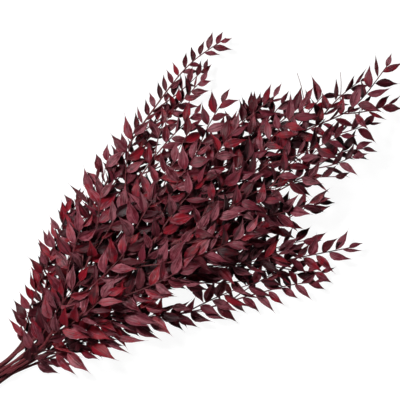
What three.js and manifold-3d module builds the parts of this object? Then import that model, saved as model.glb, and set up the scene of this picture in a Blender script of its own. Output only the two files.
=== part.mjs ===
// A tied bunch of dried, dyed ruscus, lying on a flat surface: fourteen leafy stems that fan out of a
// rubber band. Units are millimetres. +X runs from the band to the leafy head, +Y to the bunch's left and
// +Z up. The group is placed with its origin on the surface, under the middle of the bunch.
//
// Each stem is one solid: a tapered main axis, the side shoots that fork from it, and the leaves of both,
// all joined. Leaves stand along every shoot in turn to its left and right. A grid of small cells remembers
// which shoot has taken each bit of room, so that a leaf turns or stays away where it would cross another.
import * as THREE from "three";
import Module from "manifold-3d";

// ---- The stems in the band -------------------------------------------------------------------------------
const buttLength = 48; // the longest stems' cut ends stand this far behind the middle of the band
const buttUneven = 14; // and the shortest ones' this much less
const buttSpread = 1.25; // how much further apart the cut ends are than the stems inside the band
const stemPitch = 5.6; // from one stem's centre to the next inside the band
const rowRise = 5; // from one row of stems to the next
const stemRadius = { butt: 2.2, tip: 0.6 };
const band = { width: 11, wall: 1.7, gap: 0.45, sides: 28 };
const lowestRow = stemRadius.butt + band.gap + band.wall;

// The stems by their slot in the band, as [place from the middle in pitches, row], and the points that each
// passes on its way to its tip. Foliage begins the given distance beyond the band. Spread is how far the
// side shoots turn away, as a share of forkAngle. LeafSize is stated where the leaves are smaller than
// elsewhere: they and the side shoots are then closer together too.
const stems = [
  { slot: [0, 3], foliage: 85, spread: 0.8,
    route: [[80, -15, 48], [160, 2, 84], [230, 31, 98], [298, 73, 98], [355, 111, 86]] },
  { slot: [1.5, 2], foliage: 100, spread: 1,
    route: [[70, 5, 25], [130, 4, 42], [235, 30, 62], [335, 67, 68], [430, 91, 66], [504, 98, 58]] },
  { slot: [0.5, 2], foliage: 120, spread: 1, bareTip: 110,
    route: [[75, -4, 30], [145, -8, 52], [285, -2, 82], [430, -8, 98], [510, -23, 96], [596, -26, 84],
      [672, -46, 74], [762, -32, 66]] },
  { slot: [-0.5, 2], foliage: 140, spread: 1,
    route: [[100, -12, 42], [208, -14, 84], [300, -14, 110], [394, -34, 118], [488, -46, 110],
      [547, -72, 98], [596, -110, 84]] },
  { slot: [-1.5, 2], foliage: 100, spread: 0.8,
    route: [[80, -14, 25], [165, -24, 44], [285, -30, 72], [422, -46, 80], [550, -74, 74],
      [618, -84, 70], [655, -106, 64]] },
  { slot: [2, 1], foliage: 88, spread: 0.5, leafSize: 0.85,
    route: [[60, 7, 11], [112, 18, 15], [166, 49, 17], [228, 99, 20]] },
  { slot: [1, 1], foliage: 80, spread: 0.7, bareTip: 45, leafSize: 0.74,
    route: [[64, 4, 20], [148, 27, 37], [246, 68, 36], [334, 106, 30], [456, 142, 25],
      [546, 157, 27], [604, 151, 34]] },
  { slot: [0, 1], foliage: 100, spread: 1,
    route: [[66, -3, 17], [134, -3, 31], [264, 15, 50], [382, 32, 60], [490, 42, 60], [608, 40, 54]] },
  { slot: [-1, 1], foliage: 90, spread: 1,
    route: [[140, -16, 31], [262, -18, 48], [376, -30, 56], [464, -40, 56]] },
  { slot: [-2, 1], foliage: 90, spread: 0.8,
    route: [[155, -32, 30], [280, -42, 50], [368, -64, 56], [458, -102, 54], [528, -112, 50],
      [556, -124, 46]] },
  { slot: [1.5, 0], foliage: 100, spread: 1,
    route: [[148, 0, 14], [292, 8, 22], [430, 10, 28], [540, 8, 32], [640, 4, 34]] },
  { slot: [0.5, 0], foliage: 80, spread: 0.8, bareTip: 100,
    route: [[156, -24, 14], [268, -40, 22], [364, -82, 28], [438, -140, 28], [482, -165, 26],
      [546, -202, 26]] },
  { slot: [-0.5, 0], foliage: 80, spread: 0.7,
    route: [[134, -35, 16], [232, -73, 20], [314, -123, 22], [391, -159, 24], [450, -190, 22],
      [474, -208, 22]] },
  { slot: [-1.5, 0], foliage: 75, spread: 0.5,
    route: [[120, -38, 10], [196, -59, 13], [262, -89, 17], [318, -129, 20]] },
];

// ---- Side shoots -----------------------------------------------------------------------------------------
const firstFork = 15; // beyond where the foliage begins
const forkSpacing = 36; // along a stem, from one side shoot to the next on the other side
const bareTip = 60; // this much of a stem beyond its last side shoot, where it states no other
const forkAngle = 34; // degrees between a side shoot and its stem where it leaves, where spread is 1
const forkLift = 26; // degrees that a side shoot may leave above or below the stem's own level
const shootLength = 150; // at the lowest fork
const shootUneven = { fork: 9, angle: [0.8, 1.2], length: [0.8, 1.15] }; // mm at most, and shares
const shootTaper = 0.65; // and never more than this share of what is left of the stem
const shootRadius = { root: 1, tip: 0.5 };
const shootFoliage = 0.1; // the share of a shoot, from its fork, that is bare
const pastLastLeaf = 0.015; // the share of a shoot that stands on beyond its last leaf
const farthestFork = 700; // from the cut ends, where the leaves are shortest
const axisFarness = 0.8; // how near a main axis's own leaves come to the shortest
const lowestShoot = 7; // no shoot runs lower than this over the surface
const highestShoot = 122; // and none higher than this
// Side shoots end between two lines, given by where they pass the band and by their slope.
const fan = { left: { at: 57, slope: 0.205 }, right: { at: 18, slope: -0.45 } };
// Open places between the sprays, seen from above, where no side shoot passes and only leaf tips reach in.
const clearings = [
  { x: 304, y: -88, radius: 15 },
  { x: 322, y: -96, radius: 13 },
  { x: 522, y: -133, radius: 16 },
  { x: 529, y: -83, radius: 11 },
  { x: 554, y: -101, radius: 11 },
  { x: 585, y: -124, radius: 17 },
  { x: 697, y: 14, radius: 28 },
];

// ---- Leaves ----------------------------------------------------------------------------------------------
const leafSpacing = 10; // along a shoot, from one leaf to the next on the other side
const leafLength = { low: 49, high: 35 }; // near the band and at the far tips
const leafWidthShare = { low: 0.38, high: 0.3 }; // of its length
const leafAngle = { side: 48, end: 16 }; // degrees between a leaf and its shoot, along it and at its tip
const leafStray = { angle: 9, down: 20, up: 26, roll: 34 }; // at most, in degrees
const leafBend = { droop: [-0.15, 0.34], sway: [-0.2, 0.2], fold: [0.2, 0.65] }; // least and most
const leafUneven = { length: [0.84, 1.14], width: [0.88, 1.14] };
const lastLeaf = 0.985; // its place along a shoot
const endLeaves = 3; // this many leaves gather at a shoot's tip
const endLeafSize = 0.7; // of the last one
const leafRoom = 1.2; // kept free above and below a blade
const grownShare = 0.208; // the solids carry this share of the leaves, and the outermost ones

// A leaf solid has six corners, at these shares of its length and half width, and a rib that stands out from
// the middle of its back, or of its face where the surface is right behind it.
const lowCorner = { along: 0.27, across: 0.98 };
const highCorner = { along: 0.58, across: 0.66 };
const ribHeight = 1.15;

// ---- Random numbers and directions -----------------------------------------------------------------------
const degrees = Math.PI / 180;
const up = new THREE.Vector3(0, 0, 1);
const mix = (a, b, t) => a + (b - a) * t;

function shares(count, from = 0, to = 1) {
  return Array.from({ length: count + 1 }, (_, i) => mix(from, to, i / count));
}

// Park and Miller's generator: the same seed always grows the same stem.
function randomStream(seed) {
  let state = seed;
  return (low, high) => {
    state = (state * 48271) % 2147483647;
    return mix(low, high, state / 2147483647);
  };
}

// A shoot's direction at t, with the level direction to its left and the one that points up from it.
function frameAt(curve, t) {
  const ahead = curve.getTangentAt(t);
  const left = new THREE.Vector3().crossVectors(up, ahead).normalize();
  const above = new THREE.Vector3().crossVectors(ahead, left);
  return { ahead, left, above };
}

// The direction that turns away from ahead by the angle, to a side of it and lifted out of its level.
function turnedAway({ ahead, left, above }, angle, side, lift) {
  const outward = left.clone().multiplyScalar(side * Math.cos(lift)).addScaledVector(above, Math.sin(lift));
  return ahead.clone().multiplyScalar(Math.cos(angle)).addScaledVector(outward, Math.sin(angle)).normalize();
}

// ---- Room: a grid of cells, each with the number of the shoot that holds it ------------------------------
const cellSize = 2;
const roomCorner = new THREE.Vector3(-80, -290, -10);
const roomCells = [460, 300, 90];
const holderOf = new Uint16Array(roomCells[0] * roomCells[1] * roomCells[2]);

function cellOf(point, a = 0, b = 0, c = 0) {
  const i = Math.floor((point.x - roomCorner.x) / cellSize) + a;
  const j = Math.floor((point.y - roomCorner.y) / cellSize) + b;
  const k = Math.floor((point.z - roomCorner.z) / cellSize) + c;
  return (i * roomCells[1] + j) * roomCells[2] + k;
}

function isFree(points, holder) {
  return points.every((point) => [0, holder].includes(holderOf[cellOf(point)]));
}

function take(cell, holder) {
  if (holderOf[cell] === 0) holderOf[cell] = holder;
}

// A shoot takes the cells that it passes and those next to them.
const nearSteps = [-1, 0, 1];
const cellsAround = nearSteps.flatMap((a) => nearSteps.flatMap((b) => nearSteps.map((c) => [a, b, c])));

function takeAround(points, holder) {
  for (const point of points)
    for (const [a, b, c] of cellsAround) take(cellOf(point, a, b, c), holder);
}

// ---- Growing the shoots ----------------------------------------------------------------------------------
const pointsAlong = (curve, count, from = 0) => shares(count, from).map((t) => curve.getPointAt(t));
const stemPoints = 320;
const shootPoints = 80;
const forkClear = { free: 0.12, taken: 0.06 }; // a shoot is near its own stem over this share of its length
const turnsTried = [0, 1, -1, 2, -2, 3, -3, 4, -4]; // until a shoot or a leaf finds room, in steps
const shootTurn = 14 * degrees;

// The main axis: from the cut end straight through the band, then along the stem's route.
function stemCurve({ slot, route }, butt) {
  const y = slot[0] * stemPitch;
  const rise = slot[1] * rowRise;
  const cutEnd = [-butt, y * buttSpread, lowestRow + rise * buttSpread];
  const points = [cutEnd, [-band.width, y, lowestRow + rise], [band.width, y, lowestRow + rise], ...route];
  return new THREE.CatmullRomCurve3(points.map((point) => new THREE.Vector3(...point)), false, "chordal");
}

// A side shoot leaves its stem at an angle and bends most of the way back to the stem's direction.
function shootCurve(stemAxis, t, side, angle, lift, length) {
  const frame = frameAt(stemAxis, t);
  const root = stemAxis.getPointAt(t);
  const middle = root.clone().addScaledVector(turnedAway(frame, angle, side, lift), length * 0.5);
  const tip = middle.clone().addScaledVector(turnedAway(frame, angle * 0.3, side, lift * 0.3), length * 0.5);
  for (const point of [middle, tip]) point.z = THREE.MathUtils.clamp(point.z, lowestShoot, highestShoot);
  return new THREE.QuadraticBezierCurve3(root, middle, tip);
}

function isInFan({ x, y }) {
  return y < fan.left.at + fan.left.slope * x && y > fan.right.at + fan.right.slope * x;
}

function isInClearing({ x, y }) {
  return clearings.some((place) => Math.hypot(x - place.x, y - place.y) < place.radius);
}

// The side shoots of a stem, in turn to its left and right. Each is shorter the nearer it is to the tip.
function growShoots({ stem, index, axis, random }) {
  const first = axis.butt + stem.foliage + firstFork;
  const last = axis.length - (stem.bareTip ?? bareTip);
  const count = Math.round((last - first) / (forkSpacing * axis.leafSize));
  const shoots = [];
  for (let n = 0; n <= count; n++) {
    const fork = mix(first, last, n / count) + random(-shootUneven.fork, shootUneven.fork);
    const side = (n + index) % 2 === 0 ? 1 : -1;
    const angle = forkAngle * stem.spread * random(...shootUneven.angle) * degrees;
    const lift = random(-forkLift, forkLift) * degrees;
    const grownLength = shootLength * random(...shootUneven.length);
    const length = Math.min(grownLength, (axis.length - fork) * shootTaper);
    const holder = nextHolder();
    for (const turn of turnsTried) {
      const curve = shootCurve(axis.curve, fork / axis.length, side, angle, lift + turn * shootTurn, length);
      const passed = pointsAlong(curve, shootPoints, forkClear.free);
      if (!isFree(passed, holder) || !isInFan(curve.v2) || passed.some(isInClearing)) continue;
      takeAround(pointsAlong(curve, shootPoints, forkClear.taken), holder);
      const place = { fork: fork / axis.length, farness: fork / farthestFork };
      shoots.push({ curve, holder, length, foliageFrom: shootFoliage, leafSize: axis.leafSize, ...place });
      break;
    }
  }
  return shoots;
}

// ---- Growing the leaves ----------------------------------------------------------------------------------
const leafRows = 20;
const leafColumns = 4; // on each side of the rib
const clearRows = 3; // next to the shoot, that aren't counted
const tipFrom = 0.6; // the part of a leaf beyond this share of its length may reach into a clearing
const leafTurn = { lift: 15 * degrees, roll: 9 * degrees };

// A leaf's half width at a share of its length, as a share of its greatest half width. It is widest at a
// third of its length, and its tip is drawn out.
const leafOutline = (along) => Math.sin(Math.PI * Math.min(along, 0.999) ** 0.62) ** (1 + 1.1 * along);

// A point of a leaf, by shares of its length and greatest half width, raised off the blade. The blade curves
// down by droop and aside by sway, and its halves fold up along the rib.
function leafPoint(leaf, along, across, raise = 0) {
  const bend = along * along * leaf.length;
  const height = raise - leaf.droop * bend + Math.abs(across) * leaf.fold * leaf.width * 0.5;
  const point = leaf.base.clone().addScaledVector(leaf.ahead, along * leaf.length);
  point.addScaledVector(leaf.left, across * leaf.width * 0.5 + leaf.sway * bend);
  point.addScaledVector(leaf.above, height);
  return point.setZ(Math.max(point.z, 0));
}

function leafPoints(leaf, raise) {
  const columns = shares(2 * leafColumns, -1, 1);
  const row = (along) => columns.map((c) => leafPoint(leaf, along, c * leafOutline(along), raise));
  return shares(leafRows).slice(clearRows).flatMap(row);
}

// A leaf at t along its shoot. It turns about its base until the room that it needs is free.
function placeLeaf(shoot, t, side, endShare, random) {
  const frame = frameAt(shoot.curve, t);
  const base = shoot.curve.getPointAt(t);
  const stray = random(-leafStray.angle, leafStray.angle);
  const angle = (mix(leafAngle.side, leafAngle.end, endShare) + stray) * degrees;
  const lift = random(-leafStray.down, leafStray.up) * degrees;
  const roll = random(-leafStray.roll, leafStray.roll) * degrees;
  const grownLength = mix(leafLength.low, leafLength.high, shoot.farness) * random(...leafUneven.length);
  const length = grownLength * shoot.leafSize * mix(1, endLeafSize, endShare ** 3);
  const widthShare = mix(leafWidthShare.low, leafWidthShare.high, shoot.farness);
  const width = length * widthShare * random(...leafUneven.width);
  const { droop, sway, fold } = leafBend;
  const bends = { droop: random(...droop), sway: random(...sway), fold: random(...fold) };
  for (const turn of turnsTried) {
    const ahead = turnedAway(frame, angle, side, lift + turn * leafTurn.lift);
    const flat = new THREE.Vector3().crossVectors(frame.above, ahead).normalize();
    const left = flat.applyAxisAngle(ahead, roll + turn * leafTurn.roll);
    const above = new THREE.Vector3().crossVectors(ahead, left);
    const leaf = { t, base, length, width, ...bends, ahead, left, above };
    if (!isFree(leafPoints(leaf, 0), shoot.holder) || isInClearing(leafPoint(leaf, tipFrom, 0))) continue;
    for (const raise of [-leafRoom, 0, leafRoom])
      for (const point of leafPoints(leaf, raise)) take(cellOf(point), shoot.holder);
    return leaf;
  }
  return null;
}

function growLeaves(shoot, random) {
  const spacing = leafSpacing * shoot.leafSize;
  const count = Math.round((shoot.length * (1 - shoot.foliageFrom)) / spacing);
  const leaves = shares(count, shoot.foliageFrom, lastLeaf).map((t, n) => {
    const endShare = Math.max(0, 1 - (count - n) / endLeaves);
    return placeLeaf(shoot, t, n % 2 === 0 ? 1 : -1, endShare, random);
  });
  return leaves.filter((leaf) => leaf !== null);
}

// ---- Solids ----------------------------------------------------------------------------------------------
const wasm = await Module();
wasm.setup();

function toSolid(points, faces) {
  const vertProperties = new Float32Array(points.flatMap((point) => point.toArray()));
  const triVerts = new Uint32Array(faces.flat());
  return new wasm.Manifold(new wasm.Mesh({ numProp: 3, vertProperties, triVerts }));
}

function toGeometry(solid) {
  const mesh = solid.getMesh();
  const geometry = new THREE.BufferGeometry();
  geometry.setAttribute("position", new THREE.BufferAttribute(mesh.vertProperties, 3));
  geometry.setIndex(new THREE.BufferAttribute(mesh.triVerts, 1));
  geometry.computeVertexNormals();
  return geometry;
}

// A rod with a few flat sides round a line of centres, tapering as radiusAt says, with flat ends.
function rodSolid({ curve, stations, centres, sides, radiusAt }) {
  const points = centres.flatMap((centre, i) => {
    const { left, above } = frameAt(curve, stations[i]);
    return Array.from({ length: sides }, (_, k) => {
      const turn = ((k + 0.5) * 2 * Math.PI) / sides;
      const corner = centre.clone().addScaledVector(left, radiusAt(stations[i]) * Math.cos(turn));
      return corner.addScaledVector(above, radiusAt(stations[i]) * Math.sin(turn));
    });
  });
  const faces = [];
  const lastRing = (centres.length - 1) * sides;
  for (let ring = 0; ring < lastRing; ring += sides)
    for (let k = 0; k < sides; k++) {
      const a = ring + k;
      const b = ring + ((k + 1) % sides);
      faces.push([a, b, b + sides], [a, b + sides, a + sides]);
    }
  for (let k = 1; k < sides - 1; k++) faces.push([0, k + 1, k], [lastRing, lastRing + k, lastRing + k + 1]);
  return toSolid(points, faces);
}

// The middle of a rod at t, on the straight line between its two nearest centres.
function middleAt({ stations, centres }, t) {
  const i = Math.max(1, stations.findIndex((station) => station >= t));
  return centres[i - 1].clone().lerp(centres[i], (t - stations[i - 1]) / (stations[i] - stations[i - 1]));
}

// The base of a leaf's solid sits in the middle of its rod.
function leafSolid(leaf, root) {
  const corner = ({ along, across }, side) => leafPoint(leaf, along, across * side);
  const rightSide = [corner(lowCorner, -1), corner(highCorner, -1)];
  const leftSide = [corner(highCorner, 1), corner(lowCorner, 1)];
  const rib = new THREE.Vector3();
  for (const point of [...rightSide, ...leftSide]) rib.addScaledVector(point, 0.25);
  const ribSide = rib.z > ribHeight ? leaf.above.clone().negate() : up;
  rib.addScaledVector(ribSide, ribHeight);
  const blade = [[0, 1, 5], [1, 2, 4], [1, 4, 5], [2, 3, 4]];
  const ridged = [0, 1, 2, 3, 4, 5].map((a) => [a, (a + 1) % 6, 6]);
  const turnedOver = (faces) => faces.map(([a, b, c]) => [c, b, a]);
  const isFace = ribSide.dot(leaf.above) > 0;
  const faces = isFace ? [...turnedOver(blade), ...ridged] : [...blade, ...turnedOver(ridged)];
  return toSolid([root, ...rightSide, leafPoint(leaf, 1, 0), ...leftSide, rib], faces);
}

// The solids carry an even share of a stem's leaves, each shoot's last one, and those that reach furthest.
const spreadEvenly = 0.618034; // its multiples fall evenly between whole numbers

function chosenLeaves(shoots) {
  const all = shoots.flatMap((shoot) => shoot.leaves);
  const chosen = new Set(shoots.map((shoot) => shoot.leaves.at(-1)));
  for (const axis of [0, 1, 2]) {
    const reach = (leaf) => leafPoint(leaf, 1, 0).getComponent(axis);
    const ranked = all.toSorted((a, b) => reach(a) - reach(b));
    chosen.add(ranked.at(0)).add(ranked.at(-1));
  }
  all.filter((_, i) => (i * spreadEvenly) % 1 < grownShare).forEach((leaf) => chosen.add(leaf));
  return chosen;
}

const ringSpacing = 60.1; // along a main axis, beyond the band
const axisSides = 4;
const shootSegments = 3;
const shootSides = 3;

function axisRod({ curve, length, butt }) {
  const beyondBand = (butt + band.width) / length;
  const ringCount = Math.round((length * (1 - beyondBand)) / ringSpacing);
  const stations = [0, (butt - band.width) / length, ...shares(ringCount, beyondBand)];
  const radiusAt = (t) => mix(stemRadius.butt, stemRadius.tip, t ** 1.2);
  return { curve, stations, centres: stations.map((t) => curve.getPointAt(t)), sides: axisSides, radiusAt };
}

// A shoot's rod starts in the middle of its stem's rod and ends past its last leaf.
function shootRod({ curve, fork, leaves }, stemRod) {
  const stations = shares(shootSegments, 0, Math.min(1, leaves.at(-1).t + pastLastLeaf));
  const centres = [middleAt(stemRod, fork), ...stations.slice(1).map((t) => curve.getPointAt(t))];
  const radiusAt = (t) => mix(shootRadius.root, shootRadius.tip, t);
  return { curve, stations, centres, sides: shootSides, radiusAt };
}

// The body without the hollows that blades seal where they cross, which count as bodies of their own.
function outerBody(solid) {
  return solid.decompose().reduce((best, body) => (body.volume() > best.volume() ? body : best));
}

function stemSolid({ axis, shoots }) {
  const chosen = chosenLeaves([axis, ...shoots]);
  const stemRod = axisRod(axis);
  const withLeaves = (rod, leaves) => {
    const kept = leaves.filter((leaf) => chosen.has(leaf));
    return [rodSolid(rod), ...kept.map((leaf) => leafSolid(leaf, middleAt(rod, leaf.t)))];
  };
  const sprays = shoots.flatMap((shoot) => withLeaves(shootRod(shoot, stemRod), shoot.leaves));
  return outerBody(wasm.Manifold.union([...withLeaves(stemRod, axis.leaves), ...sprays]));
}

// A rubber band pulled tight: in every direction it lies against the outermost stem, at the given offset.
function bandOutline(offset) {
  const centres = stems.map(({ slot: [place, row] }) => [place * stemPitch, lowestRow + row * rowRise]);
  return shares(band.sides).slice(1).map((t) => {
    const outward = new THREE.Vector2(Math.cos(2 * Math.PI * t), Math.sin(2 * Math.PI * t));
    const inDirection = centres.map((centre) => new THREE.Vector2(...centre));
    const outermost = inDirection.sort((a, b) => b.dot(outward) - a.dot(outward))[0];
    return outermost.addScaledVector(outward, stemRadius.butt + offset);
  });
}

function bandGeometry() {
  const section = new THREE.Shape(bandOutline(band.gap + band.wall));
  section.holes.push(new THREE.Path(bandOutline(band.gap)));
  const geometry = new THREE.ExtrudeGeometry(section, { depth: band.width, bevelEnabled: false });
  const alongX = new THREE.Matrix4().makeBasis(new THREE.Vector3(0, 1, 0), up, new THREE.Vector3(1, 0, 0));
  return geometry.translate(0, 0, -band.width / 2).applyMatrix4(alongX);
}

// ---- The bunch -------------------------------------------------------------------------------------------
let holderCount = 0;

function nextHolder() {
  holderCount += 1;
  return holderCount;
}

// The main axes take their room first, then every stem's side shoots, then the leaves.
const bunch = stems.map((stem, index) => {
  const butt = buttLength - buttUneven * ((index * spreadEvenly) % 1);
  const curve = stemCurve(stem, butt);
  const length = curve.getLength();
  const foliageFrom = (butt + stem.foliage) / length;
  const leafSize = stem.leafSize ?? 1;
  const place = { foliageFrom, leafSize, farness: axisFarness };
  const axis = { curve, length, butt, holder: nextHolder(), ...place };
  takeAround(pointsAlong(curve, stemPoints), axis.holder);
  return { stem, index, axis, random: randomStream(1000 + 37 * index) };
});
for (const grown of bunch) grown.shoots = growShoots(grown);
for (const grown of bunch) {
  for (const shoot of [...grown.shoots, grown.axis]) shoot.leaves = growLeaves(shoot, grown.random);
  grown.shoots = grown.shoots.filter(({ leaves }) => leaves.length > 0);
}

const foliageMaterial = new THREE.MeshStandardMaterial({ color: 0x6b2430, roughness: 0.55, metalness: 0 });
const rubberMaterial = new THREE.MeshStandardMaterial({ color: 0xb08a5a, roughness: 0.6, metalness: 0 });

const group = new THREE.Group();
for (const grown of bunch) {
  const mesh = new THREE.Mesh(toGeometry(stemSolid(grown)), foliageMaterial);
  mesh.name = `stem_${String(grown.index + 1).padStart(2, "0")}`;
  group.add(mesh);
}
const bandMesh = new THREE.Mesh(bandGeometry(), rubberMaterial);
bandMesh.name = "band";
group.add(bandMesh);

const middle = new THREE.Box3().setFromObject(group).getCenter(new THREE.Vector3());
group.position.set(-middle.x, -middle.y, 0);
export default group;
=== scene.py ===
import itertools
import math
import bpy
import numpy as np
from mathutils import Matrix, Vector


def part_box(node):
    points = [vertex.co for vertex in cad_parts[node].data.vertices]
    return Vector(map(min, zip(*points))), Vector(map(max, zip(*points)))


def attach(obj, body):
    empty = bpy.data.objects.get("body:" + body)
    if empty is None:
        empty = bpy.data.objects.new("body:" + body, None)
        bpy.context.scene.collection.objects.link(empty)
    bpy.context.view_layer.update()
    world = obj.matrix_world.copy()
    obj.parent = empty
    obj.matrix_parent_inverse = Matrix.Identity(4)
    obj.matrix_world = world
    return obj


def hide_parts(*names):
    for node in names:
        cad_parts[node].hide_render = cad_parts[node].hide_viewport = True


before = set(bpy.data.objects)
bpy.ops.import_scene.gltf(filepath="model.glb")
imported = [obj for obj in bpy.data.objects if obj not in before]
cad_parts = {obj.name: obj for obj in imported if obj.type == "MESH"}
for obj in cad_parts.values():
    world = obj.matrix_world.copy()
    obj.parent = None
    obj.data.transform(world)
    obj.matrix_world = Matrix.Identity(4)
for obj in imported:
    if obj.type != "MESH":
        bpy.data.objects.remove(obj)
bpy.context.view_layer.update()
print("frame loaded with", len(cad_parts), "nodes")

millimetre = 0.001
upward = np.array([0.0, 0.0, 1.0])
spreadEvenly = 0.618034  # its multiples fall evenly between whole numbers
bandLow, bandHigh = (np.array(corner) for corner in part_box("band"))
bandMiddle = np.array([(bandLow[0] + bandHigh[0]) / 2, (bandLow[1] + bandHigh[1]) / 2, 0.0])

# The bunch grows in millimetres round the middle of the band, along +X. A stem's slot is its place in the
# band in pitches and its row, its route leads to the tip, and foliage begins that far beyond the band. Spread
# is how far its side shoots turn away, bareTip the length beyond the last of them where it isn't the usual
# one, and leafSize the share of the usual size that its leaves reach.
bunch = {
    "buttLength": 48.0,        # the longest stems' cut ends stand this far behind the middle of the band
    "buttUneven": 14.0,        # and the shortest ones' this much less
    "buttSpread": 1.25,        # how much further apart the cut ends are than the stems inside the band
    "stemPitch": 5.6, "rowRise": 5.0, "lowestRow": 4.35, "bandWidth": 11.0,
    "stemRadius": (2.2, 0.6),  # at the cut end and at the tip
    "axisFarness": 0.8,        # how near a main axis's own leaves come to the shortest
    "axisPoints": 320,
    "farthestFork": 700.0,     # from the cut ends, where the leaves are shortest
    "seed": 1000, "seedStep": 37,  # of the first stem's draws, and from one stem's to the next's
    "stems": [
        {"slot": (0, 3), "foliage": 85, "spread": 0.8,
         "route": [(80, -15, 48), (160, 2, 84), (230, 31, 98), (298, 73, 98), (355, 111, 86)]},
        {"slot": (1.5, 2), "foliage": 100, "spread": 1,
         "route": [(70, 5, 25), (130, 4, 42), (235, 30, 62), (335, 67, 68), (430, 91, 66), (504, 98, 58)]},
        {"slot": (0.5, 2), "foliage": 120, "spread": 1, "bareTip": 110,
         "route": [(75, -4, 30), (145, -8, 52), (285, -2, 82), (430, -8, 98), (510, -23, 96), (596, -26, 84),
                   (672, -46, 74), (762, -32, 66)]},
        {"slot": (-0.5, 2), "foliage": 140, "spread": 1,
         "route": [(100, -12, 42), (208, -14, 84), (300, -14, 110), (394, -34, 118), (488, -46, 110),
                   (547, -72, 98), (596, -110, 84)]},
        {"slot": (-1.5, 2), "foliage": 100, "spread": 0.8,
         "route": [(80, -14, 25), (165, -24, 44), (285, -30, 72), (422, -46, 80), (550, -74, 74),
                   (618, -84, 70), (655, -106, 64)]},
        {"slot": (2, 1), "foliage": 88, "spread": 0.5, "leafSize": 0.85,
         "route": [(60, 7, 11), (112, 18, 15), (166, 49, 17), (228, 99, 20)]},
        {"slot": (1, 1), "foliage": 80, "spread": 0.7, "bareTip": 45, "leafSize": 0.74,
         "route": [(64, 4, 20), (148, 27, 37), (246, 68, 36), (334, 106, 30), (456, 142, 25),
                   (546, 157, 27), (604, 151, 34)]},
        {"slot": (0, 1), "foliage": 100, "spread": 1,
         "route": [(66, -3, 17), (134, -3, 31), (264, 15, 50), (382, 32, 60), (490, 42, 60), (608, 40, 54)]},
        {"slot": (-1, 1), "foliage": 90, "spread": 1,
         "route": [(140, -16, 31), (262, -18, 48), (376, -30, 56), (464, -40, 56)]},
        {"slot": (-2, 1), "foliage": 90, "spread": 0.8,
         "route": [(155, -32, 30), (280, -42, 50), (368, -64, 56), (458, -102, 54), (528, -112, 50),
                   (556, -124, 46)]},
        {"slot": (1.5, 0), "foliage": 100, "spread": 1,
         "route": [(148, 0, 14), (292, 8, 22), (430, 10, 28), (540, 8, 32), (640, 4, 34)]},
        {"slot": (0.5, 0), "foliage": 80, "spread": 0.8, "bareTip": 100,
         "route": [(156, -24, 14), (268, -40, 22), (364, -82, 28), (438, -140, 28), (482, -165, 26),
                   (546, -202, 26)]},
        {"slot": (-0.5, 0), "foliage": 80, "spread": 0.7,
         "route": [(134, -35, 16), (232, -73, 20), (314, -123, 22), (391, -159, 24), (450, -190, 22),
                   (474, -208, 22)]},
        {"slot": (-1.5, 0), "foliage": 75, "spread": 0.5,
         "route": [(120, -38, 10), (196, -59, 13), (262, -89, 17), (318, -129, 20)]},
    ],
}


# Park and Miller's rule: each number is the last one times the multiplier, less multiples of the modulus.
streamMultiplier, streamModulus = 48271, 2147483647


def randomStream(seed):
    state = seed

    def draw(low, high):
        nonlocal state
        state = (state * streamMultiplier) % streamModulus
        return low + (high - low) * state / streamModulus

    return draw


def unit(vectors):
    return vectors / np.linalg.norm(vectors, axis=-1, keepdims=True)


def shares(count, low=0.0, high=1.0):
    return low + (high - low) * np.arange(count + 1) / count


# The value that stands at a share of the way from the first of two to the second.
def between(ends, share):
    return ends[0] + (ends[1] - ends[0]) * share


# A path is a curve that is read by share of its length: the lengths of its chords are added up, and a share
# of the sum is looked up between them.
class Path:
    chordCount = 200
    nearStep = 1e-4  # of the curve's parameter, to either side, gives its direction

    def __init__(self, curve):
        self.curve = curve
        chords = np.linalg.norm(np.diff(curve(shares(self.chordCount)), axis=0), axis=1)
        self.reached = np.concatenate([[0.0], np.cumsum(chords)])
        self.length = self.reached[-1]

    def parameter(self, share):
        return np.interp(np.atleast_1d(share) * self.length, self.reached, shares(self.chordCount))

    def points(self, share):
        return self.curve(self.parameter(share))

    # The direction ahead, the level direction to its left, and the one that points up from it.
    def frames(self, share):
        at = self.parameter(share)
        after, before = np.minimum(at + self.nearStep, 1), np.maximum(at - self.nearStep, 0)
        ahead = unit(self.curve(after) - self.curve(before))
        left = unit(np.cross(upward, ahead))
        return ahead, left, np.cross(ahead, left)


# A smooth curve through its knots: a cubic on each span, whose end slopes weigh the two chords that meet
# there by their lengths. Past the ends the knots go on as they came.
def throughKnots(knots):
    knots = np.array(knots, float)
    padded = np.vstack([2 * knots[0] - knots[1], knots, 2 * knots[-1] - knots[-2]])
    steps = np.linalg.norm(np.diff(padded, axis=0), axis=1)[:, None]
    slopes = np.diff(padded, axis=0) / steps

    def curve(at):
        place = np.asarray(at) * (len(knots) - 1)
        span = np.minimum(np.floor(place).astype(int), len(knots) - 2)
        t = (place - span)[:, None]
        before, here, after = steps[span], steps[span + 1], steps[span + 2]
        start, end = padded[span + 1], padded[span + 2]
        leave = slopes[span] - (end - padded[span]) / (before + here) + slopes[span + 1]
        arrive = slopes[span + 1] - (padded[span + 3] - start) / (here + after) + slopes[span + 2]
        leave, arrive = leave * here, arrive * here
        square = -3 * start + 3 * end - 2 * leave - arrive
        cube = 2 * start - 2 * end + leave + arrive
        return start + leave * t + square * t * t + cube * t * t * t

    return curve


# A parabola's arc from the first point towards the second and on to the third.
def bentOnce(first, second, third):
    def curve(at):
        t = np.asarray(at)[:, None]
        return (1 - t) ** 2 * first + 2 * (1 - t) * t * second + t * t * third

    return curve


# Ahead turned by an angle, to a side and lifted out of the level: ahead cos(angle) + outward sin(angle).
def turnedAway(ahead, left, above, angle, side, lift):
    outward = left * side * math.cos(lift) + above * math.sin(lift)
    return unit(ahead * math.cos(angle) + outward * math.sin(angle))


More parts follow.
